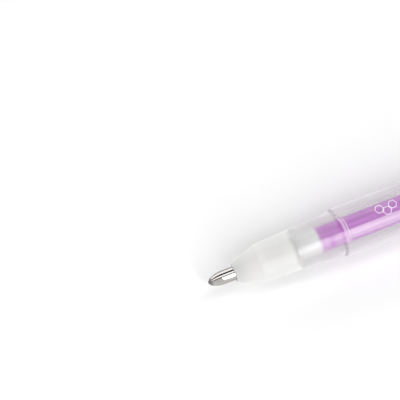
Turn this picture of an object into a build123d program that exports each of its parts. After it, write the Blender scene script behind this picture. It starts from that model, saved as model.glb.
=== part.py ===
from build123d import *

import math
import os

# Retractable highlighter, lying on its barrel with its tip out.
#
# Frame: millimetres, +X along the pen from the writing tip to the push button, +Z up. The origin is
# on the pen's axis, at the middle of the plain stretch of the main barrel. Every station below is a
# distance from the end of the writing ball, measured back along the axis with the tip out; at()
# turns one into an X position.

# --- Driving dimensions -------------------------------------------------------------------------

ORIGIN_STATION = 62.0
GAP = 0.02  # between turned pieces that are pushed or glued together

# Writing tip
BALL_R = 0.48
LIP_STATION = 0.32
LIP_R = 0.57
LIP_BORE_R = 0.49
OGIVE = [(0.7, 0.81), (1.25, 1.04), (1.8, 1.2), (2.35, 1.3)]  # points on its curve: station, radius
OGIVE_END = 3.0
TIP_R = 1.35
TIP_BODY_END = 12.6
SHANK_R = 1.05
SHANK_END = 17.0
INK_FEED_R = 0.55

# Nose
NOSE_FRONT = 5.4
NOSE_FRONT_R = 1.95
NOSE_MOUTH_R = 1.55
CONE_END = 11.6
CONE_END_R = 3.92
SEAM = 27.4
NOSE_END_R = 4.5
NOSE_BORE_R = 3.0
NOSE_STEM_BORE_R = 2.0

# Barrel and rear housing
BARREL_R = 4.9
BARREL_BORE_R = 3.6
SPIGOT_END = 29.4
BARREL_END = 92.0
HOUSING_SPIGOT_START = 86.0
HOUSING_SPIGOT_R = 4.2
REVEAL_WIDTH = 1.4
REVEAL_R = 4.55
HOUSING_END = 134.0
HOUSING_END_R = 4.1
BUTTON_BORE_START = 126.0
BUTTON_BORE_R = 2.95

# Refill
STEM_R = 1.8
STEM_START = 7.6
SHOULDER_START = 18.0
SHOULDER_R = 2.55
VALVE_START = 25.2
VALVE_R = 2.05
COLLAR_START = 28.4
COLLAR_R = 2.8
TUBE_START = 29.2
TUBE_R = 2.6
TUBE_BORE_R = 2.3
TUBE_END = 105.0
TAIL_END = 34.4
CHECK_BALL_R = 1.1
INK_END = 88.0
FOLLOWER_END = 93.0
PLUG_START = 100.5

# Return spring, its seat and the refill carrier
SEAT_START = 92.6
SEAT_END = 94.0
SPRING_WIRE_R = 0.2
SPRING_R = 3.1
SPRING_TURNS = 7
FLANGE_START = 103.0
FLANGE_END = 104.4
FLANGE_R = 3.4
CARRIER_R = 3.1
CARRIER_END = 106.4
AXLE_R = 1.2
AXLE_END = 116.8

# Click mechanism
RIBS = 4
ROTOR_START = 106.6
ROTOR_END = 114.6
ROTOR_R = 2.3
RIB_R = 3.35
ROTOR_RIB_START = 110.2
ROTOR_RIB_END = 112.4
RIB_ANGLE = 26
GUIDE_START = 112.7
GUIDE_END = 115.2
GUIDE_RIB_R = 2.6
SLOT_ANGLE = 38
CROWN_START = 114.9
CROWN_END = 119.0
CROWN_R = 2.3
PLUNGER_R = 2.1
PLUNGER_END = 136.0
PLUNGER_BORE_R = 1.4
TEETH = 8
TOOTH_DEPTH = 0.8

# Push button
BUTTON_R = 2.8
BUTTON_START = 120.0
BUTTON_END = 141.0
BUTTON_DOME = 1.0

# Clip
COLLAR_NECK_R = 4.3
CLIP_COLLAR_START = 122.0
CLIP_COLLAR_END = 127.0
CLIP_STANDOFF = 1.3
CLIP_THICKNESS = 1.0
CLIP_WIDTH = 4.0
CLIP_ARM_END = 121.6
CLIP_ARM_START = 95.0
CLIP_FOOT = 3.0
CLIP_EDGE = 0.35
CLIP_CLEAR = 0.15

# --- Positions worked out from them -------------------------------------------------------------

CLIP_OUTER_R = BARREL_R + CLIP_STANDOFF + CLIP_THICKNESS

# The pen lies on its barrel with the clip rolled down beside it, until the clip's lower edge is
# just clear of the table.
EDGE_OUT = CLIP_OUTER_R - CLIP_EDGE
EDGE_ASIDE = CLIP_WIDTH / 2 - CLIP_EDGE
EDGE_DROP = BARREL_R - CLIP_CLEAR - CLIP_EDGE
CLIP_ROLL = math.degrees(
    math.asin(EDGE_DROP / math.hypot(EDGE_OUT, EDGE_ASIDE)) - math.atan2(EDGE_ASIDE, EDGE_OUT)
)
CLIP_OUT = Vector(0, -math.cos(math.radians(CLIP_ROLL)), -math.sin(math.radians(CLIP_ROLL)))
CLIP_PLANE = Plane(origin=(0, 0, 0), x_dir=(1, 0, 0), z_dir=Vector(1, 0, 0).cross(CLIP_OUT))


def at(station):
    """X position of a point that lies this far back from the end of the writing ball."""
    return station - ORIGIN_STATION


def outline(points, plane=Plane.XY):
    """Closed face through (station, radius) points, to be spun about the pen's axis."""
    with BuildSketch(plane) as face:
        with BuildLine():
            Polyline(*[(at(station), radius) for station, radius in points], close=True)
        make_face()
    return face.sketch


def sector(radius_in, radius_out, angle, station):
    """Piece of a ring, square to the axis at a station and centred on the upward direction."""
    half = math.radians(angle / 2)
    inner = [Vector(radius_in * math.sin(turn), radius_in * math.cos(turn)) for turn in (-half, 0, half)]
    outer = [Vector(radius_out * math.sin(turn), radius_out * math.cos(turn)) for turn in (-half, 0, half)]
    with BuildSketch(Plane(origin=(at(station), 0, 0), x_dir=(0, 1, 0), z_dir=(1, 0, 0))) as face:
        with BuildLine():
            ThreePointArc(*inner)
            Line(inner[2], outer[2])
            ThreePointArc(*outer)
            Line(outer[0], inner[0])
        make_face()
    return face.sketch


os.makedirs("parts", exist_ok=True)
pieces = []


def keep(builder, label):
    """Name a finished piece and put it with the others."""
    builder.part.label = label
    pieces.append(builder.part)


# --- Writing tip --------------------------------------------------------------------------------

with BuildPart() as tip_ball:
    with Locations((at(BALL_R), 0, 0)):
        Sphere(BALL_R)
keep(tip_ball, "tip_ball")

# Turned metal tip: a rounded lip holds the ball, an ogive widens to the plain shank, and a thinner
# shank behind the shoulder is pressed into the holder.
with BuildPart() as metal_tip:
    with BuildSketch(Plane.XY):
        with BuildLine():
            lip = Line((at(LIP_STATION), LIP_BORE_R), (at(LIP_STATION), LIP_R))
            ogive = Spline(
                lip @ 1,
                *[(at(station), radius) for station, radius in OGIVE],
                (at(OGIVE_END), TIP_R),
                tangents=[(0.6, 1), (1, 0)],
            )
            Polyline(
                ogive @ 1,
                (at(TIP_BODY_END), TIP_R),
                (at(TIP_BODY_END), SHANK_R),
                (at(SHANK_END), SHANK_R),
                (at(SHANK_END), INK_FEED_R),
                (at(2.2), INK_FEED_R),
                (at(1.15), 0.3),
                (at(1.05), 0.4),
                (at(0.8), LIP_BORE_R + 0.02),
                (at(BALL_R), LIP_BORE_R + 0.02),
                lip @ 0,
            )
        make_face()
    revolve(axis=Axis.X)
keep(metal_tip, "metal_tip")

MICRO_WIRE_R = 0.07
MICRO_R = 0.3
MICRO_START = 2.4
MICRO_PITCH = 0.55
MICRO_LENGTH = 6.6
with BuildPart() as tip_spring:
    with BuildLine() as micro_path:
        Helix(MICRO_PITCH, MICRO_LENGTH, MICRO_R, center=(at(MICRO_START), 0, 0), direction=(1, 0, 0))
    with BuildSketch(Plane(origin=micro_path.line @ 0, z_dir=micro_path.line % 0)):
        Circle(MICRO_WIRE_R)
    sweep(is_frenet=True)
keep(tip_spring, "tip_spring")

# --- Nib holder and valve -----------------------------------------------------------------------

SEAT_CONE_END = VALVE_START + 1.5
with BuildPart() as nib_holder:
    revolve(
        outline(
            [
                (STEM_START, TIP_R + GAP),
                (STEM_START, STEM_R - 0.15),
                (STEM_START + 0.4, STEM_R),
                (SHOULDER_START, STEM_R),
                (SHOULDER_START + 0.25, SHOULDER_R),
                (COLLAR_START, SHOULDER_R),
                (COLLAR_START + 0.15, COLLAR_R),
                (TUBE_START - 0.15, COLLAR_R),
                (TUBE_START, COLLAR_R - 0.15),
                (TUBE_START, TUBE_BORE_R),
                (TAIL_END, TUBE_BORE_R),
                (TAIL_END, VALVE_R - 0.2),
                (COLLAR_START, VALVE_R - 0.2),
                (COLLAR_START - 0.2, VALVE_R),
                (SEAT_CONE_END, VALVE_R),
                (VALVE_START, INK_FEED_R),
                (SHANK_END + GAP, INK_FEED_R),
                (SHANK_END + GAP, SHANK_R + GAP),
                (TIP_BODY_END + GAP, SHANK_R + GAP),
                (TIP_BODY_END + GAP, TIP_R + GAP),
            ]
        ),
        axis=Axis.X,
    )
keep(nib_holder, "nib_holder")

# The valve ball rests in the cone at the front of its chamber.
CONE_SLOPE = math.atan2(VALVE_R - INK_FEED_R, SEAT_CONE_END - VALVE_START)
CONE_APEX = VALVE_START - INK_FEED_R / math.tan(CONE_SLOPE)
CHECK_BALL_STATION = CONE_APEX + CHECK_BALL_R / math.sin(CONE_SLOPE) + 0.03
with BuildPart() as check_ball:
    with Locations((at(CHECK_BALL_STATION), 0, 0)):
        Sphere(CHECK_BALL_R)
keep(check_ball, "check_ball")

# --- Ink and refill tube ------------------------------------------------------------------------

# The ink starts behind the valve ball, which leaves a round dish in its front end.
INK_R = TUBE_BORE_R - GAP
INK_START = SEAT_CONE_END + 0.1
DISH_R = CHECK_BALL_R + 0.03
DISH_EDGE_R = math.sqrt(DISH_R**2 - (INK_START - CHECK_BALL_STATION) ** 2)
DISH_TURN = math.atan2(DISH_EDGE_R, INK_START - CHECK_BALL_STATION) / 2
with BuildPart() as ink_column:
    with BuildSketch(Plane.XY):
        with BuildLine():
            dish = ThreePointArc(
                (at(CHECK_BALL_STATION + DISH_R), 0),
                (at(CHECK_BALL_STATION + DISH_R * math.cos(DISH_TURN)), DISH_R * math.sin(DISH_TURN)),
                (at(INK_START), DISH_EDGE_R),
            )
            Polyline(
                dish @ 1,
                (at(INK_START), VALVE_R - GAP),
                (at(COLLAR_START - 0.2 - GAP), VALVE_R - GAP),
                (at(COLLAR_START - GAP), VALVE_R - 0.2 - GAP),
                (at(TAIL_END + GAP), VALVE_R - 0.2 - GAP),
                (at(TAIL_END + GAP), INK_R),
                (at(INK_END), INK_R),
                (at(INK_END), 0),
                dish @ 0,
            )
        make_face()
    revolve(axis=Axis.X)
keep(ink_column, "ink_column")

with BuildPart() as ink_follower:
    revolve(
        outline([(INK_END + GAP, 0), (INK_END + GAP, INK_R), (FOLLOWER_END, INK_R), (FOLLOWER_END - 0.8, 0)]),
        axis=Axis.X,
    )
keep(ink_follower, "ink_follower")

with BuildPart() as refill_tube:
    revolve(
        outline(
            [
                (TUBE_START + GAP, TUBE_BORE_R + GAP / 2),
                (TUBE_START + GAP, TUBE_R),
                (TUBE_END, TUBE_R),
                (TUBE_END, TUBE_BORE_R + GAP / 2),
            ]
        ),
        axis=Axis.X,
    )
keep(refill_tube, "refill_tube")

VENT_R = 0.5
with BuildPart() as refill_plug:
    revolve(
        outline(
            [
                (PLUG_START, VENT_R),
                (PLUG_START, TUBE_BORE_R - 0.3),
                (PLUG_START + 0.6, TUBE_BORE_R - GAP),
                (TUBE_END - 0.1, TUBE_BORE_R - GAP),
                (TUBE_END - 0.1, VENT_R),
            ]
        ),
        axis=Axis.X,
    )
keep(refill_plug, "refill_plug")

# --- Carrier, spring and seat -------------------------------------------------------------------

with BuildPart() as refill_carrier:
    revolve(
        outline(
            [
                (FLANGE_START, TUBE_R + GAP),
                (FLANGE_START, FLANGE_R),
                (FLANGE_END, FLANGE_R),
                (FLANGE_END, CARRIER_R),
                (CARRIER_END - 0.3, CARRIER_R),
                (CARRIER_END, CARRIER_R - 0.3),
                (CARRIER_END, AXLE_R),
                (AXLE_END - 0.3, AXLE_R),
                (AXLE_END, AXLE_R - 0.3),
                (AXLE_END, VENT_R),
                (TUBE_END + GAP, VENT_R),
                (TUBE_END + GAP, TUBE_R + GAP),
            ]
        ),
        axis=Axis.X,
    )
keep(refill_carrier, "refill_carrier")

with BuildPart() as spring_seat:
    revolve(
        outline(
            [
                (SEAT_START, TUBE_R + 0.3),
                (SEAT_START, BARREL_BORE_R - GAP / 2),
                (SEAT_END, BARREL_BORE_R - GAP / 2),
                (SEAT_END, TUBE_R + 0.1),
                (SEAT_START + 0.3, TUBE_R + 0.1),
            ]
        ),
        axis=Axis.X,
    )
keep(spring_seat, "spring_seat")

SPRING_START = SEAT_END + SPRING_WIRE_R + 0.05
SPRING_LENGTH = FLANGE_START - SPRING_WIRE_R - 0.05 - SPRING_START
with BuildPart() as return_spring:
    with BuildLine() as coil:
        Helix(
            SPRING_LENGTH / SPRING_TURNS,
            SPRING_LENGTH,
            SPRING_R,
            center=(at(SPRING_START), 0, 0),
            direction=(1, 0, 0),
        )
    with BuildSketch(Plane(origin=coil.line @ 0, z_dir=coil.line % 0)):
        Circle(SPRING_WIRE_R)
    sweep(is_frenet=True)
keep(return_spring, "return_spring")

# --- Nose and barrel ----------------------------------------------------------------------------

# The solid cone guides the stem of the nib holder; behind it the nose is a plain tube.
NOSE_STEM_BORE_END = 12.0
NOSE_RIBS = 4
NOSE_RIB_START = 12.3
NOSE_RIB_END = 24.5
NOSE_RIB_INNER_R = 2.72
NOSE_RIB_ANGLE = 9
with BuildPart() as nose_section:
    with BuildSketch(Plane.XY):
        with BuildLine():
            mouth = Line((at(NOSE_FRONT + 0.15), NOSE_MOUTH_R), (at(NOSE_FRONT), NOSE_MOUTH_R + 0.15))
            face = Line(mouth @ 1, (at(NOSE_FRONT), NOSE_FRONT_R - 0.15))
            cone = Spline(
                face @ 1,
                (at(NOSE_FRONT + 0.12), NOSE_FRONT_R),
                (at(8.0), 2.9),
                (at(10.2), 3.62),
                (at(CONE_END), CONE_END_R),
                tangents=[(0.2, 1), (1, 0.1)],
            )
            Polyline(
                cone @ 1,
                (at(SEAM), NOSE_END_R),
                (at(SEAM), BARREL_BORE_R - GAP / 2),
                (at(SPIGOT_END - 0.3), BARREL_BORE_R - GAP / 2),
                (at(SPIGOT_END), BARREL_BORE_R - 0.3),
                (at(SPIGOT_END), NOSE_BORE_R),
                (at(NOSE_STEM_BORE_END + 0.6), NOSE_BORE_R),
                (at(NOSE_STEM_BORE_END), NOSE_BORE_R - 0.5),
                (at(NOSE_STEM_BORE_END), NOSE_STEM_BORE_R),
                (at(NOSE_FRONT + 1.0), NOSE_STEM_BORE_R),
                (at(NOSE_FRONT + 1.0), NOSE_MOUTH_R),
                mouth @ 0,
            )
        make_face()
    revolve(axis=Axis.X)
    nose_rib = sector(NOSE_RIB_INNER_R, NOSE_BORE_R + 0.2, NOSE_RIB_ANGLE, NOSE_RIB_START)
    for number in range(NOSE_RIBS):
        extrude(nose_rib.rotate(Axis.X, number * 360 / NOSE_RIBS), amount=NOSE_RIB_END - NOSE_RIB_START)
keep(nose_section, "nose_section")

with BuildPart() as main_barrel:
    revolve(
        outline(
            [
                (SEAM + GAP, BARREL_BORE_R),
                (SEAM + GAP, BARREL_R - 0.2),
                (SEAM + 0.2, BARREL_R),
                (BARREL_END - 0.15, BARREL_R),
                (BARREL_END, BARREL_R - 0.15),
                (BARREL_END, HOUSING_SPIGOT_R + GAP / 2),
                (HOUSING_SPIGOT_START - GAP, HOUSING_SPIGOT_R + GAP / 2),
                (HOUSING_SPIGOT_START - GAP, BARREL_BORE_R),
            ]
        ),
        axis=Axis.X,
    )
keep(main_barrel, "main_barrel")

with BuildPart() as rear_housing:
    with BuildSketch(Plane.XY):
        with BuildLine():
            front = Polyline(
                (at(BUTTON_BORE_START), BARREL_BORE_R),
                (at(HOUSING_SPIGOT_START), BARREL_BORE_R),
                (at(HOUSING_SPIGOT_START), HOUSING_SPIGOT_R),
                (at(BARREL_END + GAP), HOUSING_SPIGOT_R),
                (at(BARREL_END + GAP), REVEAL_R),
                (at(BARREL_END + REVEAL_WIDTH), REVEAL_R),
                (at(BARREL_END + REVEAL_WIDTH), BARREL_R - 0.15),
                (at(BARREL_END + REVEAL_WIDTH + 0.15), BARREL_R),
                (at(CLIP_COLLAR_START), BARREL_R),
                (at(CLIP_COLLAR_START), COLLAR_NECK_R),
                (at(CLIP_COLLAR_END), COLLAR_NECK_R),
                (at(CLIP_COLLAR_END), BARREL_R),
                (at(HOUSING_END - 4.0), BARREL_R),
            )
            shoulder = Spline(
                front @ 1,
                (at(HOUSING_END - 1.6), BARREL_R - 0.22),
                (at(HOUSING_END), HOUSING_END_R),
                tangents=[(1, 0), (0.6, -1)],
            )
            Polyline(
                shoulder @ 1,
                (at(HOUSING_END), BUTTON_BORE_R + 0.25),
                (at(HOUSING_END - 0.25), BUTTON_BORE_R),
                (at(BUTTON_BORE_START), BUTTON_BORE_R),
                front @ 0,
            )
        make_face()
    revolve(axis=Axis.X)
keep(rear_housing, "rear_housing")

# --- Click mechanism ----------------------------------------------------------------------------

# The fixed cam is a ring of four ribs. The rotor's ribs pass between them, and when the rotor has
# turned by half a rib's spacing they land on their front ends and hold the refill out.
with BuildPart() as cam_guide:
    revolve(
        outline(
            [
                (GUIDE_START, BARREL_BORE_R - 0.1),
                (GUIDE_START, BARREL_BORE_R - GAP / 2),
                (GUIDE_END, BARREL_BORE_R - GAP / 2),
                (GUIDE_END, BARREL_BORE_R - 0.1),
            ]
        ),
        axis=Axis.X,
    )
    guide_rib = sector(GUIDE_RIB_R, BARREL_BORE_R - 0.05, 360 / RIBS - SLOT_ANGLE, GUIDE_START)
    for number in range(RIBS):
        turned = guide_rib.rotate(Axis.X, (number + 0.5) * 360 / RIBS)
        extrude(turned, amount=GUIDE_END - GUIDE_START)
keep(cam_guide, "cam_guide")

# Eight square teeth are cut into the back of the rotor and the front of the plunger's crown.
with BuildPart() as cam_rotor:
    revolve(
        outline(
            [
                (ROTOR_START, AXLE_R + 0.05),
                (ROTOR_START, ROTOR_R),
                (ROTOR_END, ROTOR_R),
                (ROTOR_END, AXLE_R + 0.05),
            ]
        ),
        axis=Axis.X,
    )
    rotor_rib = sector(ROTOR_R - 0.3, RIB_R, RIB_ANGLE, ROTOR_RIB_START)
    rotor_notch = sector(AXLE_R - 0.3, ROTOR_R + 0.3, 180 / TEETH, ROTOR_END - TOOTH_DEPTH)
    for number in range(RIBS):
        extrude(rotor_rib.rotate(Axis.X, number * 360 / RIBS), amount=ROTOR_RIB_END - ROTOR_RIB_START)
    for number in range(TEETH):
        turned = rotor_notch.rotate(Axis.X, number * 360 / TEETH)
        extrude(turned, amount=TOOTH_DEPTH + 0.3, mode=Mode.SUBTRACT)
keep(cam_rotor, "cam_rotor")

with BuildPart() as cam_plunger:
    revolve(
        outline(
            [
                (CROWN_START, PLUNGER_BORE_R),
                (CROWN_START, CROWN_R),
                (CROWN_END, CROWN_R),
                (CROWN_END, PLUNGER_R),
                (PLUNGER_END, PLUNGER_R),
                (PLUNGER_END, PLUNGER_BORE_R),
            ]
        ),
        axis=Axis.X,
    )
    plunger_rib = sector(CROWN_R - 0.3, RIB_R, RIB_ANGLE, CROWN_START + TOOTH_DEPTH)
    plunger_notch = sector(PLUNGER_BORE_R - 0.3, CROWN_R + 0.3, 180 / TEETH, CROWN_START - 0.3)
    for number in range(RIBS):
        turned = plunger_rib.rotate(Axis.X, number * 360 / RIBS)
        extrude(turned, amount=CROWN_END - CROWN_START - TOOTH_DEPTH)
    for number in range(TEETH):
        turned = plunger_notch.rotate(Axis.X, (number + 0.5) * 360 / TEETH)
        extrude(turned, amount=TOOTH_DEPTH + 0.3, mode=Mode.SUBTRACT)
keep(cam_plunger, "cam_plunger")

with BuildPart() as push_button:
    with BuildSketch(Plane.XY):
        with BuildLine():
            wall = Polyline(
                (at(PLUNGER_END + 0.1), PLUNGER_R + GAP),
                (at(BUTTON_START), PLUNGER_R + GAP),
                (at(BUTTON_START), BUTTON_R - 0.1),
                (at(BUTTON_START + 0.1), BUTTON_R),
                (at(BUTTON_END - BUTTON_DOME), BUTTON_R),
            )
            dome = Spline(
                wall @ 1,
                (at(BUTTON_END - 0.3), BUTTON_R - 0.55),
                (at(BUTTON_END), 0),
                tangents=[(1, 0), (0, -1)],
            )
            Polyline(dome @ 1, (at(PLUNGER_END + 0.1), 0), wall @ 0)
        make_face()
    revolve(axis=Axis.X)
keep(push_button, "push_button")

# --- Clip ---------------------------------------------------------------------------------------

with BuildPart() as clip_collar:
    revolve(
        outline(
            [
                (CLIP_COLLAR_START + GAP, COLLAR_NECK_R + GAP / 2),
                (CLIP_COLLAR_START + GAP, BARREL_R),
                (CLIP_COLLAR_END - GAP, BARREL_R),
                (CLIP_COLLAR_END - GAP, COLLAR_NECK_R + GAP / 2),
            ]
        ),
        axis=Axis.X,
    )
    with BuildSketch(CLIP_PLANE):
        with BuildLine():
            Polyline(
                (at(CLIP_COLLAR_START + GAP), BARREL_R - 0.3),
                (at(CLIP_COLLAR_START + GAP), CLIP_OUTER_R - 0.3),
                (at(CLIP_COLLAR_START + 0.5), CLIP_OUTER_R),
                (at(CLIP_COLLAR_END - 1.6), CLIP_OUTER_R),
                (at(CLIP_COLLAR_END - GAP), BARREL_R + 0.5),
                (at(CLIP_COLLAR_END - GAP), BARREL_R - 0.3),
                close=True,
            )
        make_face()
    extrude(amount=CLIP_WIDTH / 2, both=True)
    fillet(clip_collar.faces().sort_by(Axis((0, 0, 0), CLIP_OUT))[-1].edges().filter_by(Axis.X), CLIP_EDGE)
keep(clip_collar, "clip_collar")

# The arm springs from the collar across a thin groove, runs beside the barrel and turns in to a
# rounded foot that rests just off it.
FOOT_GAP = 0.15
FOOT_ROUND = 0.9
with BuildPart() as clip_arm:
    with BuildSketch(CLIP_PLANE) as side:
        with BuildLine():
            Polyline(
                (at(CLIP_ARM_END), BARREL_R + CLIP_STANDOFF),
                (at(CLIP_ARM_END - 0.25), CLIP_OUTER_R),
                (at(CLIP_ARM_START), CLIP_OUTER_R),
                (at(CLIP_ARM_START), BARREL_R + FOOT_GAP),
                (at(CLIP_ARM_START + CLIP_FOOT), BARREL_R + FOOT_GAP),
                (at(CLIP_ARM_START + CLIP_FOOT + 2.5), BARREL_R + CLIP_STANDOFF),
                close=True,
            )
        make_face()
        fillet(side.vertices().sort_by(Axis.X)[:4], FOOT_ROUND)
    extrude(amount=CLIP_WIDTH / 2, both=True)
    fillet(clip_arm.faces().sort_by(Axis((0, 0, 0), CLIP_OUT))[-1].edges().filter_by(Axis.X), CLIP_EDGE)
keep(clip_arm, "clip_arm")

for piece in pieces:
    export_step(piece, f"parts/{piece.label}.step")
    print(f"{piece.label:16s} {piece.volume:9.2f} mm3")
print("clip roll below level:", round(CLIP_ROLL, 2), "degrees")
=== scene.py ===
"""Looks of a retractable highlighter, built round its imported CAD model.

Lengths are metres in the model's own frame: +X runs from the writing tip to the push button and +Z
is up. Most stations are given as a distance back from the end of the writing ball, as on a drawing
of the pen, and station() turns one into an X position.
"""

import logging
import math
from dataclasses import dataclass
from enum import Enum
from typing import Any, Dict, List, Optional, Sequence, Tuple, Union

import bpy
from mathutils import Matrix, Vector


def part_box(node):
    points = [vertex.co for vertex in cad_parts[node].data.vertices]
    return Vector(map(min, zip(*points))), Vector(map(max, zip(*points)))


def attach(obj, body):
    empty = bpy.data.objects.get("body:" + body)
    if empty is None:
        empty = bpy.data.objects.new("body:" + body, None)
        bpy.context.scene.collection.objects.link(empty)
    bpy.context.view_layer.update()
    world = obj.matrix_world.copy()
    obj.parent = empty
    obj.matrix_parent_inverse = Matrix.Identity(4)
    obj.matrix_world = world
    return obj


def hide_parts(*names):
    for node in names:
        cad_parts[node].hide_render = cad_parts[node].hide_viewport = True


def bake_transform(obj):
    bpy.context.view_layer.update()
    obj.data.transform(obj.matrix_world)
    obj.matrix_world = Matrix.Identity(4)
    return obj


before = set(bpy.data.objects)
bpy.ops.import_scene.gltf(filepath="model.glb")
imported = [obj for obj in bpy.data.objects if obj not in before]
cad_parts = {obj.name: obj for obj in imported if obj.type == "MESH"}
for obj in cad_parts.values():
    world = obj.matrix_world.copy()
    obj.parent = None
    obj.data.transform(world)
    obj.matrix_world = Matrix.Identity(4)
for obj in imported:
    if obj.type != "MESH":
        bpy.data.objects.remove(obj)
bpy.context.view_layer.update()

LOG = logging.getLogger("highlighter")

Colour = Tuple[float, float, float]

MM = 0.001
TIP_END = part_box("tip_ball")[0].x
FLOOR_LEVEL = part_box("main_barrel")[0].z
BARREL_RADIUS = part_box("main_barrel")[1].z


def station(distance: float) -> float:
    """X position of a point this many millimetres back from the end of the writing ball."""
    return TIP_END + distance * MM


class Body(Enum):
    """Rigid bodies of the pen."""

    BARREL = "barrel"
    REFILL = "refill"


# --- Shader graphs --------------------------------------------------------------------------------


@dataclass(frozen=True)
class Signal:
    """An output of a shader node that combines with others, and with numbers, by operators."""

    graph: "Graph"
    socket: bpy.types.NodeSocket

    def _math(self, operation: str, first: Any, second: Any) -> "Signal":
        """Number made by one Math node."""
        return self.graph.node("ShaderNodeMath", {"operation": operation}, {0: first, 1: second})

    def __add__(self, other: "Operand") -> "Signal":
        """Sum."""
        return self._math("ADD", self, other)

    def __radd__(self, other: "Operand") -> "Signal":
        """Sum with a number on the left."""
        return self._math("ADD", other, self)

    def __sub__(self, other: "Operand") -> "Signal":
        """Difference."""
        return self._math("SUBTRACT", self, other)

    def __rsub__(self, other: "Operand") -> "Signal":
        """A number less this signal."""
        return self._math("SUBTRACT", other, self)

    def __mul__(self, other: "Operand") -> "Signal":
        """Product."""
        return self._math("MULTIPLY", self, other)

    def __rmul__(self, other: "Operand") -> "Signal":
        """Product with a number on the left."""
        return self._math("MULTIPLY", other, self)

    def __pow__(self, other: "Operand") -> "Signal":
        """Power."""
        return self._math("POWER", self, other)

    def sine(self) -> "Signal":
        """Sine of this signal, in radians."""
        return self._math("SINE", self, 0.0)

    def between(self, low: float, high: float, start: float = 0.0, end: float = 1.0) -> "Signal":
        """Smooth step over a stretch.

        Args:
            low: Where the step starts.
            high: Where it ends.
            start: Value before the step.
            end: Value after it.

        Returns:
            The stepped signal.
        """
        values = {"Value": self, "From Min": low, "From Max": high, "To Min": start, "To Max": end}
        return self.graph.node("ShaderNodeMapRange", {"interpolation_type": "SMOOTHSTEP"}, values)


Operand = Union[Signal, float]


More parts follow.
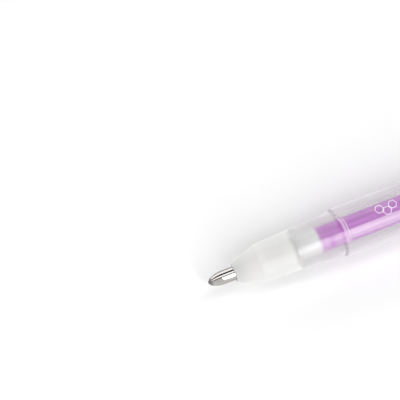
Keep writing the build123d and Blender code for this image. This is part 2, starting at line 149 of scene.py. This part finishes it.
class Graph:
    """The node tree of one material or world."""

    def __init__(self, owner: Union[bpy.types.Material, bpy.types.World]) -> None:
        """Start an empty tree.

        Args:
            owner: The material or world that it shades.
        """
        self.owner = owner
        owner.use_nodes = True
        self.tree = owner.node_tree
        self.tree.nodes.clear()

    @classmethod
    def of_material(cls, name: str) -> "Graph":
        """Tree of a new material of this name."""
        return cls(bpy.data.materials.new(name))

    def node(
        self,
        kind: str,
        settings: Optional[Dict[str, Any]] = None,
        inputs: Optional[Dict[Union[str, int], Any]] = None,
        output: Union[str, int] = 0,
    ) -> Signal:
        """Add a node.

        Args:
            kind: The node's type.
            settings: Its properties, set first; "stops" is a colour ramp's list of (place, colour).
            inputs: Values or signals for its input sockets, by name or number.
            output: Which output to return.

        Returns:
            That output as a signal.
        """
        made = self.tree.nodes.new(kind)
        for name, value in (settings or {}).items():
            if name == "stops":
                self._set_stops(made.color_ramp, value)
            else:
                setattr(made, name, value)
        for name, value in (inputs or {}).items():
            if isinstance(value, Signal):
                self.tree.links.new(value.socket, made.inputs[name])
            else:
                made.inputs[name].default_value = value
        return Signal(self, made.outputs[output] if len(made.outputs) else None)

    @staticmethod
    def _set_stops(ramp: bpy.types.ColorRamp, stops: Sequence[Tuple[float, Colour]]) -> None:
        """Give a colour ramp these stops, in order of place."""
        for index, (place, colour) in enumerate(stops):
            stop = ramp.elements[index] if index < 2 else ramp.elements.new(place)
            stop.position, stop.color = place, (*colour, 1.0)

    def place(self) -> Signal:
        """The point on the piece, in the model's frame at rest."""
        return self.node("ShaderNodeTexCoord", output="Object")

    def scaled_place(self, scale: Tuple[float, float, float]) -> Signal:
        """The point on the piece, with each coordinate multiplied by its own number."""
        settings = {"operation": "MULTIPLY"}
        return self.node("ShaderNodeVectorMath", settings, {0: self.place(), 1: scale})

    def axis(self, name: str) -> Signal:
        """One coordinate of the point on the piece: X, Y or Z."""
        return self.node("ShaderNodeSeparateXYZ", None, {0: self.place()}, name)

    def radius(self) -> Signal:
        """Distance of the point on the piece from the pen's axis."""
        across = self.scaled_place((0.0, 1.0, 1.0))
        return self.node("ShaderNodeVectorMath", {"operation": "LENGTH"}, {0: across}, "Value")

    def turn(self) -> Signal:
        """Angle of the point on the piece round the pen's axis, in radians from up towards -Y."""
        angle = {"operation": "ARCTAN2"}
        return self.node("ShaderNodeMath", angle, {0: self.axis("Y") * -1.0, 1: self.axis("Z")})

    def along(self, low: float, high: float, start: float = 0.0, end: float = 1.0) -> Signal:
        """Smooth step between two stations of the pen.

        Args:
            low: Station where the step starts, in millimetres.
            high: Station where it ends.
            start: Value before the step.
            end: Value after it.

        Returns:
            The stepped signal.
        """
        return self.axis("X").between(station(low), station(high), start, end)

    def band(self, start: float, end: float, fade: float) -> Signal:
        """Band round the pen.

        Args:
            start: Station where it starts, in millimetres.
            end: Station where it ends.
            fade: Length of the fade inside each end.

        Returns:
            1 in the band and 0 outside it.
        """
        return self.along(start, start + fade) * self.along(end - fade, end, 1.0, 0.0)

    def stripe(
        self, angles: Tuple[float, float], fades: Tuple[float, float], wander: Operand = 0.0
    ) -> Signal:
        """Stripe along the pen.

        Args:
            angles: Where it starts and ends round the axis, in degrees from up towards -Y.
            fades: Half the width of the fade at its start and at its end, in radians.
            wander: Angle in radians by which it strays.

        Returns:
            1 on the stripe and 0 beside it.
        """
        turn = self.turn() + wander
        low, high = (math.radians(angle) for angle in angles)
        low_fade, high_fade = fades
        start = turn.between(low - low_fade, low + low_fade)
        return start * turn.between(high - high_fade, high + high_fade, 1.0, 0.0)

    def noise(self, per_mm: float, detail: float = 2.0, stretch: float = 1.0) -> Signal:
        """Fractal noise.

        Args:
            per_mm: Features in a millimetre.
            detail: Octaves.
            stretch: How many times longer features are along the pen than across it.

        Returns:
            Noise about 0.5.
        """
        scaled = self.scaled_place((1.0 / stretch, 1.0, 1.0))
        values = {"Vector": scaled, "Scale": per_mm / MM, "Detail": detail}
        return self.node("ShaderNodeTexNoise", None, values)

    def mix(self, share: Operand, first: Any, second: Any) -> Signal:
        """Colour between two, by share of the second."""
        first, second = ((*c, 1.0) if isinstance(c, tuple) else c for c in (first, second))
        inputs = {"Factor_Float": share, "A_Color": first, "B_Color": second}
        return self._mix_node(inputs)

    def _mix_node(self, inputs: Dict[str, Any]) -> Signal:
        """Colour Mix node, whose sockets are picked by identifier because their names repeat."""
        made = self.tree.nodes.new("ShaderNodeMix")
        made.data_type = "RGBA"
        sockets = {s.identifier: s for s in made.inputs}
        for name, value in inputs.items():
            if isinstance(value, Signal):
                self.tree.links.new(value.socket, sockets[name])
            else:
                sockets[name].default_value = value
        return Signal(self, next(s for s in made.outputs if s.identifier == "Result_Color"))

    def bump(self, height: Signal, strength: float, depth: float) -> Signal:
        """Normal of a surface with this relief.

        Args:
            height: Relief from 0 to 1.
            strength: Share of the effect.
            depth: Height of the relief in metres.

        Returns:
            The bent normal.
        """
        values = {"Strength": strength, "Distance": depth, "Height": height}
        return self.node("ShaderNodeBump", None, values)

    def surface(self, **sockets: Any) -> bpy.types.Material:
        """Finish the material with one Principled shader.

        Args:
            **sockets: Its inputs, with underscores for the spaces in their names.

        Returns:
            The material.
        """
        inputs = {}
        for name, value in sockets.items():
            colour = isinstance(value, tuple) and len(value) == 3 and name != "Subsurface_Radius"
            inputs[name.replace("_", " ")] = (*value, 1.0) if colour else value
        shader = self.node("ShaderNodeBsdfPrincipled", None, inputs)
        self.node("ShaderNodeOutputMaterial", None, {"Surface": shader})
        return self.owner


# --- Finishes -------------------------------------------------------------------------------------


def shade(colour: Colour, share: float) -> Colour:
    """This colour with each part multiplied by share."""
    return tuple(part * share for part in colour)


@dataclass(frozen=True)
class FrostedPlastic:
    """Milky see-through plastic with a fine frosted skin.

    Its outer skin is milkier than its bore, and milkier still where it turns away, because there the
    wall is seen edgeways. A piece may be cast solid up to one station, thick-walled up to the next,
    and clearer where it laps over another piece, and 0 leaves such a stretch out. A veil is how much
    of what lies behind is hidden, and each fade is a length in millimetres.
    """

    name: str
    tint: Colour = (0.65, 0.645, 0.635)
    tint_spread: float = 0.03
    edge_tint: Colour = (0.76, 0.76, 0.76)
    skin_radius: float = 3.75 * MM
    skin_fade: float = 0.1 * MM
    skin_veil: float = 0.17
    edge_veil: float = 0.75
    edge_power: float = 1.3
    bore_veil: float = 0.08
    bore_edge_veil: float = 0.12
    cloud_veil: float = 0.05
    roughness: float = 0.38
    roughness_spread: float = 0.16
    grain_depth: float = 0.01 * MM
    solid_until: float = 0.0
    solid_fades: Tuple[float, float] = (0.3, 0.5)
    thick_until: float = 0.0
    thick_fades: Tuple[float, float] = (1.5, 0.4)
    thick_veil: float = 0.8
    clear_behind: float = 0.0
    behind_fade: float = 0.3
    behind_share: float = 0.1
    clear_before: float = 0.0
    before_fade: float = 0.4
    before_share: float = 0.15
    glow: float = 0.0
    glow_depth: float = 3.0 * MM

    def material(self) -> bpy.types.Material:
        """Material of this finish."""
        g = Graph.of_material(self.name)
        cloud = g.noise(0.35, detail=3.0, stretch=2.5)
        grain = g.noise(4.0, detail=3.0)
        edge = g.node("ShaderNodeLayerWeight", None, {"Blend": 0.5}, "Facing") ** self.edge_power
        low, high = (shade(self.tint, 1.0 + sign * self.tint_spread) for sign in (-1.0, 1.0))
        return g.surface(
            Base_Color=g.mix(edge, g.mix(cloud, low, high), self.edge_tint),
            Roughness=self.roughness + (grain - 0.5) * self.roughness_spread,
            Normal=g.bump(grain, 0.10, self.grain_depth),
            Alpha=self._veil(g, edge, cloud),
            IOR=1.49,
            Subsurface_Weight=self.glow,
            Subsurface_Radius=(1.0, 1.0, 1.0),
            Subsurface_Scale=self.glow_depth,
        )

    def _veil(self, g: Graph, edge: Signal, cloud: Signal) -> Signal:
        """How much the plastic hides.

        Args:
            g: The material's tree.
            edge: How far the wall is seen edgeways.
            cloud: Slow noise along the piece.

        Returns:
            The veil over the whole piece.
        """
        skin = g.radius().between(self.skin_radius - self.skin_fade, self.skin_radius + self.skin_fade)
        edge_veil = self.bore_edge_veil + skin * (self.edge_veil - self.bore_edge_veil)
        veil = self.bore_veil + skin * (self.skin_veil - self.bore_veil)
        veil = veil + edge * edge_veil + (cloud - 0.5) * self.cloud_veil
        if self.thick_until:
            before, after = self.thick_fades
            start, end = self.thick_until - before, self.thick_until + after
            veil = veil + g.along(start, end, self.thick_veil, 0.0)
        if self.clear_behind:
            end = self.clear_behind + self.behind_fade
            veil = veil * g.along(self.clear_behind, end, 1.0, self.behind_share)
        if self.clear_before:
            end = self.clear_before + self.before_fade
            veil = veil * g.along(self.clear_before, end, self.before_share, 1.0)
        if self.solid_until:
            before, after = self.solid_fades
            veil = veil + g.along(self.solid_until - before, self.solid_until + after, 1.0, 0.0)
        return veil


@dataclass(frozen=True)
class ClearTube:
    """Thin clear plastic tube, tinted where inked, with a painted highlight on its near side."""

    name: str
    tint: Colour
    clear: Colour = (0.72, 0.72, 0.72)
    ink_until: float = 88.0
    ink_fade: float = 0.3
    veil: float = 0.30
    inked_veil: float = 0.9
    streak_veil: float = 0.06
    # Painted highlight: a paler stripe along the near side, between these angles from up towards -Y.
    painted_highlight_tint: Colour = (0.80, 0.52, 0.82)
    painted_highlight_share: float = 0.75
    painted_highlight_angles: Tuple[float, float] = (19.0, 68.0)
    painted_highlight_fades: Tuple[float, float] = (0.05, 0.08)
    painted_highlight_wander: float = 0.12

    def material(self) -> bpy.types.Material:
        """Material of this finish."""
        g = Graph.of_material(self.name)
        inked = g.along(self.ink_until - self.ink_fade, self.ink_until + self.ink_fade, 1.0, 0.0)
        streaks = g.noise(1.2, detail=2.0, stretch=14.0)
        # Painted highlight: the paler stripe, wandering with the streaks, mixed into the ink's tint.
        painted_highlight = g.stripe(self.painted_highlight_angles, self.painted_highlight_fades, (streaks - 0.5) * self.painted_highlight_wander)
        ink_with_painted_highlight = g.mix(painted_highlight * self.painted_highlight_share, self.tint, self.painted_highlight_tint)
        veil = inked * (self.inked_veil - self.veil) + self.veil
        return g.surface(
            Base_Color=g.mix(inked, self.clear, ink_with_painted_highlight),
            Roughness=0.16 + streaks * 0.10,
            Normal=g.bump(streaks, 0.15, 0.01 * MM),
            Alpha=veil + (streaks - 0.5) * self.streak_veil,
            IOR=1.5,
            Coat_Weight=0.6,
            Coat_Roughness=0.06,
        )


@dataclass(frozen=True)
class Ink:
    """Dense pastel ink seen through its tube, a little uneven along it."""

    name: str
    colour: Colour
    pale: Colour

    def material(self) -> bpy.types.Material:
        """Material of this finish."""
        g = Graph.of_material(self.name)
        streaks = g.noise(0.5, detail=3.0, stretch=6.0)
        return g.surface(
            Base_Color=g.mix(streaks.between(0.35, 0.75), self.colour, self.pale),
            Roughness=0.22 + streaks * 0.12,
            IOR=1.45,
            Coat_Weight=0.6,
            Coat_Roughness=0.08,
        )


@dataclass(frozen=True)
class Metal:
    """Turned or drawn metal, with rings left by the tool.

    The lip and ball are dark with dried ink and painted shade, fading out between two stations.
    """

    name: str
    colour: Colour
    roughness: float = 0.12
    rings_per_mm: float = 14.0
    ring_depth: float = 0.0006 * MM
    ring_wander: float = 5.0
    rim_colour: Colour = (0.45, 0.43, 0.41)
    # Darkening at the front: dried ink, and painted shade for the tip's dark outline.
    ink_and_shade_fade: Tuple[float, float] = (-0.2, 0.35)
    ink_and_shade_colour: Colour = (0.07, 0.065, 0.065)
    ink_and_shade_least: float = 0.6
    ink_and_shade_roughness: float = 0.15

    def material(self) -> bpy.types.Material:
        """Material of this finish."""
        g = Graph.of_material(self.name)
        wobble = g.noise(1.5, detail=2.0)
        pitch = 2.0 * math.pi * self.rings_per_mm / MM
        rings = (g.axis("X") * pitch + wobble * self.ring_wander).sine() * 0.5 + 0.5
        # Dried ink and painted shade: the front of the tip and ball turns dark and less metallic.
        patches = wobble * (1.0 - self.ink_and_shade_least) + self.ink_and_shade_least
        ink_and_shade = g.along(*self.ink_and_shade_fade, 1.0, 0.0) * patches
        clean = g.mix(wobble, shade(self.colour, 0.9), self.colour)
        worn = self.roughness + rings * 0.04 + (wobble - 0.5) * 0.04
        return g.surface(
            Base_Color=g.mix(ink_and_shade, clean, self.ink_and_shade_colour),
            Metallic=1.0 - ink_and_shade,
            Roughness=worn + ink_and_shade * self.ink_and_shade_roughness,
            Normal=g.bump(rings, 0.3, self.ring_depth),
            Specular_Tint=self.rim_colour,
        )


@dataclass(frozen=True)
class MouldedPlastic:
    """Opaque or slightly clear moulded plastic with faint flow marks."""

    name: str
    colour: Colour
    roughness: float = 0.3
    roughness_spread: float = 0.12
    grain: float = 0.2
    grain_depth: float = 0.008 * MM
    veil: float = 1.0

    def material(self) -> bpy.types.Material:
        """Material of this finish."""
        g = Graph.of_material(self.name)
        flow = g.noise(0.4, detail=3.0, stretch=3.0)
        grain = g.noise(7.0, detail=2.0)
        return g.surface(
            Base_Color=g.mix(flow, shade(self.colour, 0.94), self.colour),
            Roughness=self.roughness + (grain - 0.5) * self.roughness_spread,
            Normal=g.bump(grain, self.grain, self.grain_depth),
            Alpha=self.veil,
            IOR=1.49,
        )


@dataclass(frozen=True)
class HolderPlastic:
    """White plastic of the nib holder, clearer and soaked in ink from the valve chamber back.

    A painted highlight runs along its near side, broken by a darker painted band where the valve ball
    sits behind the wall, and the two edges of its collar carry painted highlights as pale rings.
    Lengths are in millimetres.
    """

    name: str
    colour: Colour = (0.70, 0.70, 0.71)
    tint: Colour = (0.50, 0.03, 0.58)
    tint_share: float = 0.95
    chamber_start: float = 22.9
    chamber_fade: float = 0.5
    chamber_veil: float = 0.78
    # Painted highlight: a paler stripe along the near side, between these angles from up towards -Y.
    painted_highlight_tint: Colour = (0.84, 0.50, 0.88)
    painted_highlight_share: float = 0.6
    painted_highlight_angles: Tuple[float, float] = (19.0, 75.0)
    painted_highlight_fades: Tuple[float, float] = (0.05, 0.1)
    # Painted shade: the painted highlight is left out over the valve ball, a darker band there.
    painted_ball_shade: Tuple[float, float] = (25.0, 25.9)
    painted_ball_shade_fade: float = 0.2
    # Painted highlights: pale, opaque rings at the two edges of the collar.
    edges: Tuple[float, float] = (28.47, 29.13)
    highlight_edge_width: float = 0.4
    edge_highlight_colour: Colour = (0.86, 0.55, 0.90)

    def material(self) -> bpy.types.Material:
        """Material of this finish."""
        g = Graph.of_material(self.name)
        chamber = g.along(self.chamber_start, self.chamber_start + self.chamber_fade)
        flow = g.noise(0.6, detail=2.0, stretch=3.0)
        # Painted highlight along the near side, with a darker painted band over the valve ball.
        ball = g.band(*self.painted_ball_shade, self.painted_ball_shade_fade)
        painted_highlight = g.stripe(self.painted_highlight_angles, self.painted_highlight_fades) * (1.0 - ball)
        soaked = g.mix(painted_highlight * self.painted_highlight_share, self.tint, self.painted_highlight_tint)
        body = g.mix(chamber * self.tint_share, self.colour, soaked)
        # Painted highlights: pale rings at the collar's two edges.
        width = self.highlight_edge_width
        first, second = (g.band(edge - width, edge + width, width) for edge in self.edges)
        rings = first + second
        return g.surface(
            Base_Color=g.mix(rings, body, self.edge_highlight_colour),
            Roughness=0.18 + flow * 0.12,
            Alpha=1.0 - chamber * (1.0 - self.chamber_veil) * (1.0 - rings),
            IOR=1.5,
            Coat_Weight=0.6,
            Coat_Roughness=0.08,
        )


INK_PURPLE = (0.42, 0.015, 0.56)
INK_PALE = (0.50, 0.06, 0.64)
TUBE_PURPLE = (0.47, 0.02, 0.56)
BUTTON_PURPLE = (0.38, 0.05, 0.52)
PRINT_WHITE = (0.88, 0.80, 0.90)
WHITE = (0.80, 0.80, 0.80)
COOL_WHITE = (0.78, 0.78, 0.80)
CAM_WHITE = (0.76, 0.76, 0.78)
MILK = (0.74, 0.74, 0.76)
GREASE = (0.72, 0.70, 0.62)
TIP_STEEL = (0.52, 0.505, 0.49)
CARBIDE = (0.60, 0.60, 0.62)
BALL_STEEL = (0.62, 0.62, 0.64)
WIRE_STEEL = (0.66, 0.66, 0.67)

FINISHES: Dict[str, Any] = {
    "nose_section": FrostedPlastic(
        "frosted_nose",
        skin_radius=3.3 * MM,
        edge_veil=0.85,
        edge_power=1.8,
        solid_until=11.3,
        thick_until=18.2,
        clear_behind=27.0,
        glow=0.8,
    ),
    "main_barrel": FrostedPlastic(
        "frosted_barrel", edge_tint=(0.80, 0.80, 0.81), clear_before=27.42
    ),
    "rear_housing": FrostedPlastic("frosted_housing", skin_veil=0.3, bore_veil=0.2),
    "refill_tube": ClearTube("refill_tube_plastic", TUBE_PURPLE),
    "ink_column": Ink("purple_ink", INK_PURPLE, INK_PALE),
    "ink_follower": MouldedPlastic("clear_grease", GREASE, roughness=0.15, grain=0.1, veil=0.7),
    # Its front is darkened by dried ink and painted shade.
    "metal_tip": Metal(
        "turned_tip", TIP_STEEL, roughness=0.05, ring_depth=0.0003 * MM, ink_and_shade_fade=(0.3, 1.0)
    ),
    "tip_ball": Metal(
        "carbide_ball",
        CARBIDE,
        roughness=0.08,
        rings_per_mm=0.8,
        ring_depth=0.0,
        ink_and_shade_fade=(0.3, 1.3),
    ),
    "check_ball": Metal("steel_ball", BALL_STEEL, roughness=0.1, rings_per_mm=0.8, ring_depth=0.0),
    "tip_spring": Metal("spring_wire_fine", WIRE_STEEL, roughness=0.2),
    "nib_holder": HolderPlastic("holder_plastic"),
    "refill_plug": MouldedPlastic("white_plug", WHITE),
    "refill_carrier": MouldedPlastic("white_carrier", COOL_WHITE),
    "spring_seat": MouldedPlastic("white_seat", COOL_WHITE),
    "cam_guide": MouldedPlastic("white_guide", COOL_WHITE),
    "cam_rotor": MouldedPlastic("white_rotor", CAM_WHITE, roughness=0.25),
    "cam_plunger": MouldedPlastic("white_plunger", CAM_WHITE, roughness=0.25),
    "push_button": MouldedPlastic("purple_button", BUTTON_PURPLE, roughness=0.2, grain=0.12),
    "clip_collar": MouldedPlastic("milky_collar", MILK, roughness=0.24, grain=0.15, veil=0.9),
    "clip_arm": MouldedPlastic("milky_clip", MILK, roughness=0.24, grain=0.15, veil=0.86),
}
RETURN_WIRE = Metal("spring_wire", WIRE_STEEL, roughness=0.2)
PRINT = MouldedPlastic("white_print", PRINT_WHITE, roughness=0.35, grain=0.1, veil=0.72)


# --- Meshes ---------------------------------------------------------------------------------------

NEARLY_UPRIGHT = 0.999


def smooth(piece: bpy.types.Object, angle: float = 32.0) -> None:
    """Shade a piece smooth, but keep its edges sharper than this many degrees."""
    chosen = {"object": piece, "active_object": piece, "selected_editable_objects": [piece]}
    with bpy.context.temp_override(**chosen):
        bpy.ops.object.shade_smooth_by_angle(angle=math.radians(angle))


def mesh_piece(
    name: str, points: Sequence[Vector], faces: Sequence[Sequence[int]]
) -> bpy.types.Object:
    """Mesh object made of these points and faces, in the model's frame."""
    mesh = bpy.data.meshes.new(name)
    mesh.from_pydata([tuple(p) for p in points], [], [tuple(f) for f in faces])
    mesh.update()
    piece = bpy.data.objects.new(name, mesh)
    bpy.context.scene.collection.objects.link(piece)
    return piece


def wire(name: str, path: Sequence[Vector], radius: float, sides: int = 12) -> bpy.types.Object:
    """Round wire along a path.

    Args:
        name: The piece's name.
        path: Points along its middle.
        radius: Half its thickness.
        sides: Points round it.

    Returns:
        The wire, with closed ends.
    """
    points: List[Vector] = []
    faces: List[Sequence[int]] = []
    up = Vector((0.0, 0.0, 1.0))
    for index, point in enumerate(path):
        along = (path[min(index + 1, len(path) - 1)] - path[max(index - 1, 0)]).normalized()
        upright = abs(along.dot(up)) >= NEARLY_UPRIGHT
        side = Vector((0.0, 1.0, 0.0)) if upright else along.cross(up).normalized()
        up = side.cross(along).normalized()
        for step in range(sides):
            turn = 2.0 * math.pi * step / sides
            points.append(point + (side * math.cos(turn) + up * math.sin(turn)) * radius)
    for ring in range(len(path) - 1):
        for step in range(sides):
            here, following = ring * sides + step, ring * sides + (step + 1) % sides
            faces.append((here, following, following + sides, here + sides))
    last = (len(path) - 1) * sides
    faces.append(tuple(reversed(range(sides))))
    faces.append(tuple(range(last, last + sides)))
    return mesh_piece(name, points, faces)


def around(distance: float, turn: float, radius: float) -> Vector:
    """Point about the pen's axis.

    Args:
        distance: Station in millimetres.
        turn: Angle from straight up, towards -Y, in radians.
        radius: Distance from the axis in metres.

    Returns:
        The point in the model's frame.
    """
    return Vector((station(distance), -radius * math.sin(turn), radius * math.cos(turn)))


def direction(azimuth: float, elevation: float) -> Vector:
    """Unit vector from the pen at this bearing, from -Y towards +X, and elevation, in degrees."""
    bearing, rise = math.radians(azimuth), math.radians(elevation)
    flat = math.cos(rise)
    return Vector((math.sin(bearing) * flat, -math.cos(bearing) * flat, math.sin(rise)))


# --- Sub-assemblies -------------------------------------------------------------------------------


@dataclass
class CadPieces:
    """The pieces whose CAD shape shows as it is."""

    hidden: Tuple[str, ...] = ("return_spring",)

    def dress(self) -> None:
        """Give each shown CAD node its finish and smooth shading."""
        for name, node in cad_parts.items():
            if name in self.hidden:
                continue
            node.data.materials.clear()
            node.data.materials.append(FINISHES[name].material())
            smooth(node)
            LOG.info("dressed %s as %s", name, FINISHES[name].name)


@dataclass
class ReturnSpring:
    """Coil between the seat in the housing and the flange of the refill carrier."""

    wire_radius: float = 0.2 * MM
    coil_radius: float = 3.1 * MM
    turns: float = 7.0
    end_turns: float = 1.0
    end_pitch: float = 2.2
    steps_per_turn: int = 40

    def build(self) -> bpy.types.Object:
        """Wind the coil, with closed end turns, over the CAD spring's length, and hide that spring."""
        low, high = (corner.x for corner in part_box("return_spring"))
        start, length = low + self.wire_radius, high - low - 2.0 * self.wire_radius
        closed = self.end_pitch * self.wire_radius * self.end_turns
        total = self.turns + 2.0 * self.end_turns
        path = []
        for step in range(round(total * self.steps_per_turn) + 1):
            turned = step / self.steps_per_turn
            free = min(max(turned - self.end_turns, 0.0), self.turns) / self.turns
            ends = min(turned, self.end_turns) + max(turned - self.end_turns - self.turns, 0.0)
            along = start + closed * ends / self.end_turns + (length - 2.0 * closed) * free
            angle = 2.0 * math.pi * turned
            across, rise = self.coil_radius * math.cos(angle), self.coil_radius * math.sin(angle)
            path.append(Vector((along, across, rise)))
        coil = wire("return_coil", path, self.wire_radius)
        coil.data.materials.append(RETURN_WIRE.material())
        smooth(coil)
        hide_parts("return_spring")
        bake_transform(coil)
        LOG.info("wound the return coil")
        return coil


@dataclass
class BarrelPrint:
    """Plain geometric marks printed in white on the top of the barrel, in millimetres along it."""

    turn: float = math.radians(3.0)
    thickness: float = 0.012 * MM
    line: float = 0.19
    cells: int = 3
    cell_start: float = 35.7
    cell_size: float = 0.95
    cell_pitch: float = 1.5
    cell_stagger: float = 0.87
    dots: int = 16
    dot_start: float = 8.0
    dot_pitch: float = 2.2
    dot_size: float = 0.5
    dot_shrink: float = 0.015
    outline_steps: int = 48

    def build(self) -> bpy.types.Object:
        """Print three joined six-sided outlines and a dwindling row of rings behind them."""
        points: List[Vector] = []
        faces: List[Sequence[int]] = []
        size = self.cell_size
        for index in range(self.cells):
            centre = self.cell_start + index * size * self.cell_pitch
            aside = (index % 2 - 0.5) * self.cell_stagger * size
            self._ring(points, faces, (centre, aside), size, corners=6)
        for index in range(self.dots):
            centre = self.cell_start + self.dot_start + self.dot_pitch * index
            size = self.dot_size - self.dot_shrink * index
            self._ring(points, faces, (centre, 0.0), size, corners=20)
        piece = mesh_piece("barrel_print", points, faces)
        piece.data.materials.append(PRINT.material())
        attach(piece, Body.BARREL.value)
        LOG.info("printed the barrel")
        return piece

    def _ring(
        self,
        points: List[Vector],
        faces: List[Sequence[int]],
        centre: Tuple[float, float],
        size: float,
        corners: int,
    ) -> None:
        """Add one outline, wrapped round the barrel.

        Args:
            points: The mesh's points so far.
            faces: Its faces so far.
            centre: Station of the outline's middle, and how far round the barrel that is moved.
            size: Its radius in millimetres.
            corners: How many corners it has.
        """
        per_side = max(1, self.outline_steps // corners)
        outline: List[Tuple[float, float]] = []
        for corner in range(corners):
            here, following = (2.0 * math.pi * (corner + k) / corners for k in (0, 1))
            for step in range(per_side):
                share = step / per_side
                x = math.cos(here) * (1 - share) + math.cos(following) * share
                y = math.sin(here) * (1 - share) + math.sin(following) * share
                outline.append((x, y))
        base, count = len(points), len(outline)
        middle, aside = centre
        for x, y in outline:
            for scale in (size, size - self.line):
                turn = self.turn + (y * scale + aside) * MM / BARREL_RADIUS
                points.append(around(middle + x * scale, turn, BARREL_RADIUS + self.thickness))
        for index in range(count):
            here, following = base + 2 * index, base + 2 * ((index + 1) % count)
            faces.append((here, here + 1, following + 1, following))


# --- Studio ---------------------------------------------------------------------------------------


@dataclass
class Studio:
    """Pale floor inside a light tent, with one soft panel on the near side.

    The tent's wall changes with the angle round the pen's axis, from straight up towards -Y, so it
    is given as a list of (angle in degrees, brightness). The pen's clear walls lie many deep, so the
    renderer looks through more of them in a row than it would by itself.
    """

    floor_size: float = 3.0
    floor_tones: Tuple[Colour, Colour] = ((0.84, 0.84, 0.84), (0.86, 0.86, 0.86))
    floor_glow: float = 0.02
    tent: Tuple[Tuple[float, float], ...] = (
        (-180.0, 1.9),
        (-62.0, 1.9),
        (-54.0, 1.3),
        (-50.0, 0.01),
        (-25.0, 0.01),
        (-23.0, 2.1),
        (-5.0, 2.1),
        (3.0, 0.1),
        (15.0, 0.1),
        (20.0, 0.95),
        (180.0, 0.95),
    )
    panel_turn: float = 13.5
    panel_height: float = 41.0
    panel_away: float = 0.60
    panel_width: float = 0.15
    panel_tall: float = 0.69
    panel_radiance: float = 5.6
    panel_aim: float = 30.0
    clear_walls: int = 32

    def build(self) -> None:
        """Lay the floor and set the lights."""
        self._floor()
        self._tent()
        self._panel()
        bpy.context.scene.view_settings.view_transform = "Standard"
        bpy.context.scene.cycles.transparent_max_bounces = self.clear_walls

    def _floor(self) -> None:
        """Lay a pale floor under the pen."""
        half = self.floor_size / 2.0
        corners = ((-half, -half), (half, -half), (half, half), (-half, half))
        floor = mesh_piece("floor", [Vector((x, y, FLOOR_LEVEL)) for x, y in corners], [(0, 1, 2, 3)])
        g = Graph.of_material("pale_floor")
        paint = g.surface(
            Base_Color=g.mix(g.noise(0.01, detail=2.0), *self.floor_tones),
            Roughness=0.9,
            Specular_IOR_Level=0.1,
            Emission_Color=(1.0, 1.0, 1.0),
            Emission_Strength=self.floor_glow,
        )
        floor.data.materials.append(paint)

    def _tent(self) -> None:
        """Light the scene from all round, with the tent's stripes along the pen."""
        world = bpy.data.worlds.new("tent")
        g = Graph(world)
        toward = g.node("ShaderNodeTexCoord", output="Generated")
        side = g.node("ShaderNodeSeparateXYZ", None, {0: toward}, "Y")
        up = g.node("ShaderNodeSeparateXYZ", None, {0: toward}, "Z")
        turn = g.node("ShaderNodeMath", {"operation": "ARCTAN2"}, {0: side * -1.0, 1: up})
        share = turn * (0.5 / math.pi) + 0.5
        stops = [(0.5 + angle / 360.0, (level, level, level)) for angle, level in self.tent]
        colour = g.node("ShaderNodeValToRGB", {"stops": stops}, {"Fac": share}, "Color")
        light = g.node("ShaderNodeBackground", None, {"Color": colour, "Strength": 1.0})
        g.node("ShaderNodeOutputWorld", None, {"Surface": light})
        bpy.context.scene.world = world

    def _panel(self) -> None:
        """Set one flat soft light that faces the pen.

        Its bearing goes from -Y towards +X and its height is an elevation, both in degrees. Its
        radiance is its brightness beside a white surface.
        """
        light = bpy.data.lights.new("near_panel", "AREA")
        light.shape = "RECTANGLE"
        light.size, light.size_y = self.panel_width, self.panel_tall
        light.energy = self.panel_radiance * math.pi * self.panel_width * self.panel_tall
        lamp = bpy.data.objects.new("near_panel", light)
        toward = direction(self.panel_turn, self.panel_height)
        lamp.location = Vector((station(self.panel_aim), 0.0, 0.0)) + toward * self.panel_away
        lamp.rotation_euler = toward.to_track_quat("Z", "Y").to_euler()
        bpy.context.scene.collection.objects.link(lamp)


@dataclass
class ViewCamera:
    """Camera above the near side of the pen, with the tip below the middle of its view."""

    azimuth: float = -21.87
    elevation: float = 69.5
    away: float = 0.1935
    lens: float = 90.0
    nearest: float = 0.01
    aim_left_of_tip: float = 1.604 * MM
    aim_above_tip: float = 16.066 * MM

    def build(self) -> None:
        """Place the camera."""
        turn = math.radians(self.azimuth)
        back = direction(self.azimuth, self.elevation)
        right = Vector((math.cos(turn), math.sin(turn), 0.0))
        up = back.cross(right)
        aim = up * self.aim_above_tip - right * self.aim_left_of_tip
        place = Vector((TIP_END, 0.0, 0.0)) + aim + back * self.away
        data = bpy.data.cameras.new("camera")
        data.lens = self.lens
        data.clip_start = self.nearest
        camera = bpy.data.objects.new("camera", data)
        facing = Matrix((right, up, back)).transposed().to_4x4()
        camera.matrix_world = Matrix.Translation(place) @ facing
        bpy.context.scene.collection.objects.link(camera)
        bpy.context.scene.camera = camera


def main() -> None:
    """Build every piece in order."""
    logging.basicConfig(level=logging.INFO, format="%(name)s: %(message)s")
    Studio().build()
    ViewCamera().build()
    CadPieces().dress()
    ReturnSpring().build()
    BarrelPrint().build()


if __name__ == "__main__":
    main()
